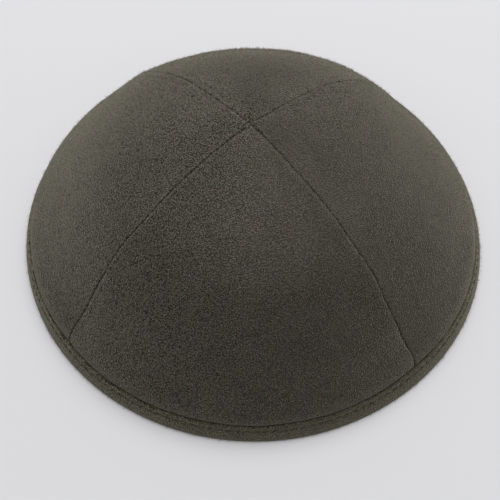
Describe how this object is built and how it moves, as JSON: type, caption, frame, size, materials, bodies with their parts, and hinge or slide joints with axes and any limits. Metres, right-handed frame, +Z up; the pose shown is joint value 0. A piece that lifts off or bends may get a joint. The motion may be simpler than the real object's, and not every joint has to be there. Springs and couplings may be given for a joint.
{
  "type": "kippah skullcap",
  "caption": "Low round suede skullcap of joined panels with a folded rim binding, open underneath to sit on the crown of a head.",
  "frame": {"origin": "centre of the rim on the surface that the cap rests on", "axes": "+Z up through the crown, -Y towards the front panel"},
  "size_m": [0.1754, 0.1745, 0.0619],
  "materials": {
    "panel_suede": "matte olive-brown suede with a short brushed nap",
    "binding_suede": "matte olive-brown suede strip with a short brushed nap"
  },
  "bodies": {
    "root": {"panel_front": "panel_suede", "panel_right": "panel_suede", "panel_back": "panel_suede", "panel_left": "panel_suede", "rim_binding": "binding_suede"}
  },
  "joints": []
}
